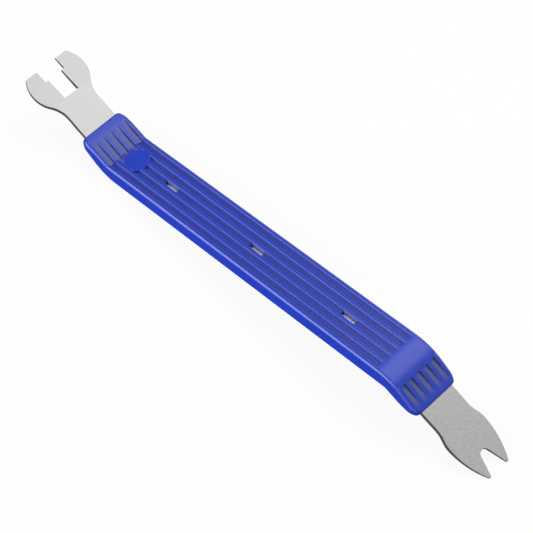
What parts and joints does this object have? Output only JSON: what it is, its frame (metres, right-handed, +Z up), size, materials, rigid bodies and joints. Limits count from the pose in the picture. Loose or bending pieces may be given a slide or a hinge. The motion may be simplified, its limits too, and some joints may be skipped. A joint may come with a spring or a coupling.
{
  "type": "trim removal tool",
  "caption": "Z-bent steel pry tool for vehicle trim, with a stepped clip fork at one end, a rounded V notch at the other and a ribbed plastic grip moulded over its middle.",
  "frame": {"origin": "on the bench that the tool lies on, under the middle of its length and width", "axes": "+X along the tool towards the notched end, +Y across its width, +Z up from the bench"},
  "size_m": [0.2954, 0.0318, 0.0307],
  "materials": {
    "steel": "satin, finely grit-blasted",
    "grip_plastic": "satin moulded"
  },
  "bodies": {
    "root": {"blade": "steel", "handle": "grip_plastic"}
  },
  "joints": []
}
